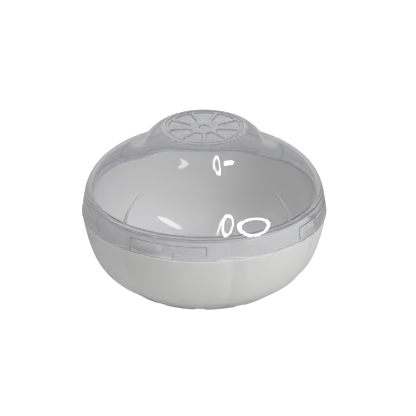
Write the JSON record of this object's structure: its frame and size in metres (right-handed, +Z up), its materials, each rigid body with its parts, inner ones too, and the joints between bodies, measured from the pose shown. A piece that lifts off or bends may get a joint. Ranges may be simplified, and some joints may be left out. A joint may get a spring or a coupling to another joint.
{
  "type": "twist-lock produce keeper",
  "caption": "Small lobed white bowl with a clear domed lid that twist-locks over its rim and lifts off, for keeping a garlic bulb or other small produce.",
  "frame": {"origin": "centre of the foot ring, on the surface it stands on", "axes": "+Z up along the axis that the lid turns about; -Y is the front, +X is right as seen from the front"},
  "size_m": [0.1102, 0.1102, 0.074],
  "materials": {
    "bowl": "satin moulded polypropylene, slightly translucent white",
    "lid": "polished clear moulded plastic with a faint cool grey tint",
    "seal": "soft translucent silicone, smooth"
  },
  "bodies": {
    "bowl_body": {"bowl": "bowl"},
    "seal_body": {"rim_seal": "seal"},
    "lid_body": {"lid": "lid"}
  },
  "joints": [
    {"name": "lid_lift", "type": "slide", "parent": "bowl_body", "child": "seal_body", "axis": [0, 0, 1], "range_m": [0, 0.05]},
    {"name": "lid_twist", "type": "hinge", "parent": "seal_body", "child": "lid_body", "pos_m": [0, 0, 0.042], "axis": [0, 0, 1], "range_deg": [-22, 0]}
  ]
}
